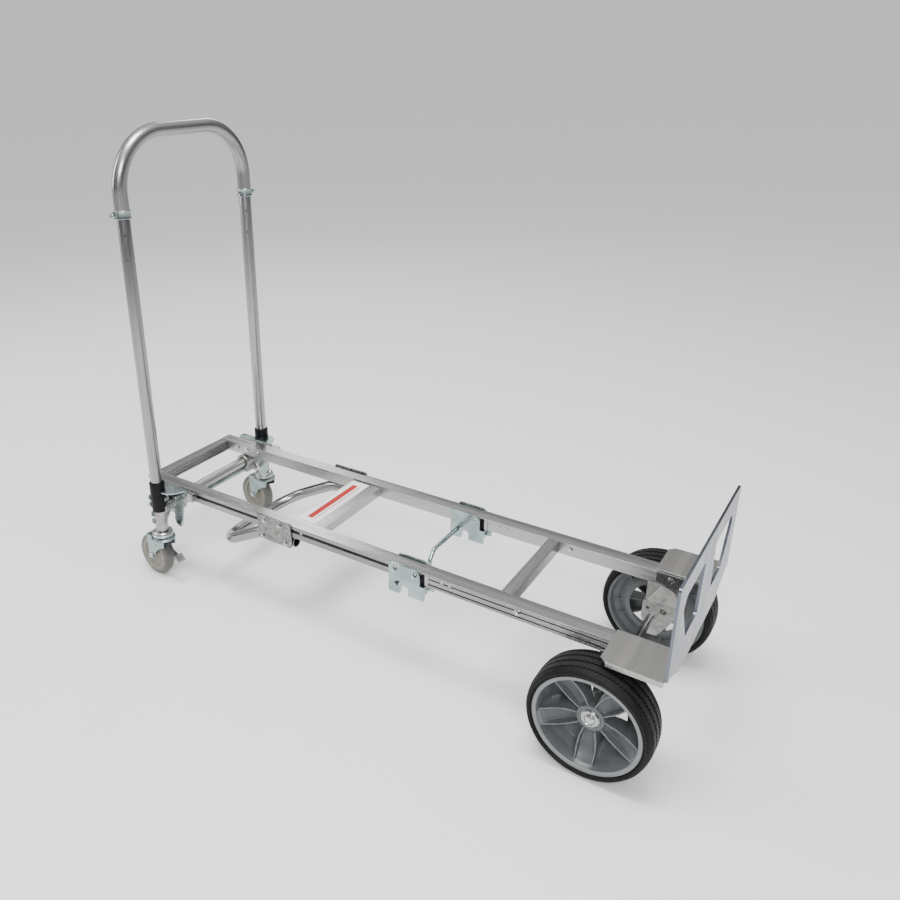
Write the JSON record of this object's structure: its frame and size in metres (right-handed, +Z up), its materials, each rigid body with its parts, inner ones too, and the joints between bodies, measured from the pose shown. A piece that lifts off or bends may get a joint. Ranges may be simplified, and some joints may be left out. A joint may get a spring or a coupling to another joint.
{
  "type": "convertible hand truck",
  "caption": "Aluminium convertible hand truck set as a four-wheel platform, with an upright loop handle, swivel casters, large tyred wheels and a nose plate.",
  "frame": {"origin": "on the floor under the centre of the bounding box", "axes": "+X towards the nose plate, +Y towards the far rail, +Z up"},
  "size_m": [1.443, 0.53, 1.1896],
  "materials": {
    "mill_aluminium": "mill-finish extruded aluminium, fine lengthwise grain",
    "nose_aluminium": "rolled aluminium plate, brushed",
    "zinc_plated_steel": "bluish zinc plating, satin",
    "cast_alloy": "sand-blasted casting, matt",
    "black_plastic": "black moulded plastic, satin",
    "dark_steel": "dark painted or blackened steel",
    "black_rubber": "black rubber with fine grooves",
    "grey_wheel": "grey moulded nylon",
    "bright_chrome": "polished",
    "caster_core": "beige-grey moulded plastic",
    "caster_tread": "soft grey non-marking tread"
  },
  "bodies": {
    "frame": {"upper_rail_near": "mill_aluminium", "upper_rail_far": "mill_aluminium", "lower_rail_near": "mill_aluminium", "lower_rail_far": "mill_aluminium", "rail_splice_near": "dark_steel", "rail_splice_far": "dark_steel", "grab_plate_near": "zinc_plated_steel", "grab_plate_far": "zinc_plated_steel", "latch_saddle_near": "zinc_plated_steel", "latch_saddle_far": "zinc_plated_steel", "nose_bracket_near": "nose_aluminium", "nose_bracket_far": "nose_aluminium", "cheek_plate_near": "dark_steel", "cheek_plate_far": "dark_steel", "axle_bracket_near": "cast_alloy", "axle_bracket_far": "cast_alloy", "handle_hook_near": "zinc_plated_steel", "handle_hook_far": "zinc_plated_steel", "hook_spacer_near": "mill_aluminium", "hook_spacer_far": "mill_aluminium", "end_cross_member": "mill_aluminium", "wide_cross_member": "mill_aluminium", "front_cross_member": "mill_aluminium", "grab_handle": "mill_aluminium", "nose_plate": "nose_aluminium", "axle": "zinc_plated_steel"},
    "release_rod": {"release_rod": "zinc_plated_steel"},
    "handle": {"handle_leg_near": "mill_aluminium", "handle_leg_far": "mill_aluminium", "loop_clamp_near": "zinc_plated_steel", "loop_clamp_far": "zinc_plated_steel", "clamp_knob_near": "dark_steel", "clamp_knob_far": "dark_steel", "leg_sleeve_near": "black_plastic", "leg_sleeve_far": "black_plastic", "leg_elbow_near": "cast_alloy", "leg_elbow_far": "cast_alloy", "caster_race_near": "zinc_plated_steel", "caster_race_far": "zinc_plated_steel", "handle_loop": "mill_aluminium", "handle_cross_tube": "mill_aluminium", "latch_bar": "zinc_plated_steel"},
    "brake_pedal": {"brake_pedal": "dark_steel"},
    "main_wheel_near": {"tyre_near": "black_rubber", "wheel_rim_near": "grey_wheel", "wheel_bearing_near": "zinc_plated_steel", "hub_cap_near": "bright_chrome"},
    "caster_fork_near": {"caster_fork_near": "zinc_plated_steel", "caster_axle_near": "bright_chrome"},
    "caster_wheel_near": {"caster_core_near": "caster_core", "caster_tread_near": "caster_tread"},
    "main_wheel_far": {"tyre_far": "black_rubber", "wheel_rim_far": "grey_wheel", "wheel_bearing_far": "zinc_plated_steel", "hub_cap_far": "bright_chrome"},
    "caster_fork_far": {"caster_fork_far": "zinc_plated_steel", "caster_axle_far": "bright_chrome"},
    "caster_wheel_far": {"caster_core_far": "caster_core", "caster_tread_far": "caster_tread"}
  },
  "joints": [
    {"name": "handle_fold", "type": "hinge", "parent": "frame", "child": "handle", "pos_m": [-0.6243, 0, 0.215], "axis": [0, -1, 0], "range_deg": [0, 90]},
    {"name": "release_rod_slide", "type": "slide", "parent": "frame", "child": "release_rod", "axis": [0.7071, 0, 0.7071], "range_m": [0, 0.008]},
    {"name": "main_wheel_near_spin", "type": "hinge", "parent": "frame", "child": "main_wheel_near", "pos_m": [0.5925, -0.221, 0.1275], "axis": [0, 1, 0], "continuous": true},
    {"name": "caster_swivel_near", "type": "hinge", "parent": "handle", "child": "caster_fork_near", "pos_m": [-0.6243, -0.2105, 0.13], "axis": [0, 0, 1], "continuous": true},
    {"name": "caster_wheel_near_spin", "type": "hinge", "parent": "caster_fork_near", "child": "caster_wheel_near", "pos_m": [-0.6615, -0.20659, 0.06], "axis": [0.1045, 0.9945, 0], "continuous": true},
    {"name": "main_wheel_far_spin", "type": "hinge", "parent": "frame", "child": "main_wheel_far", "pos_m": [0.5925, 0.221, 0.1275], "axis": [0, 1, 0], "continuous": true},
    {"name": "caster_swivel_far", "type": "hinge", "parent": "handle", "child": "caster_fork_far", "pos_m": [-0.6243, 0.2105, 0.13], "axis": [0, 0, 1], "continuous": true},
    {"name": "caster_wheel_far_spin", "type": "hinge", "parent": "caster_fork_far", "child": "caster_wheel_far", "pos_m": [-0.6615, 0.21441, 0.06], "axis": [0.1045, 0.9945, 0], "continuous": true},
    {"name": "brake_pedal_press", "type": "hinge", "parent": "caster_fork_near", "child": "brake_pedal", "pos_m": [-0.60391, -0.21264, 0.1125], "axis": [0.1045, 0.9945, 0], "range_deg": [0, 12]}
  ]
}
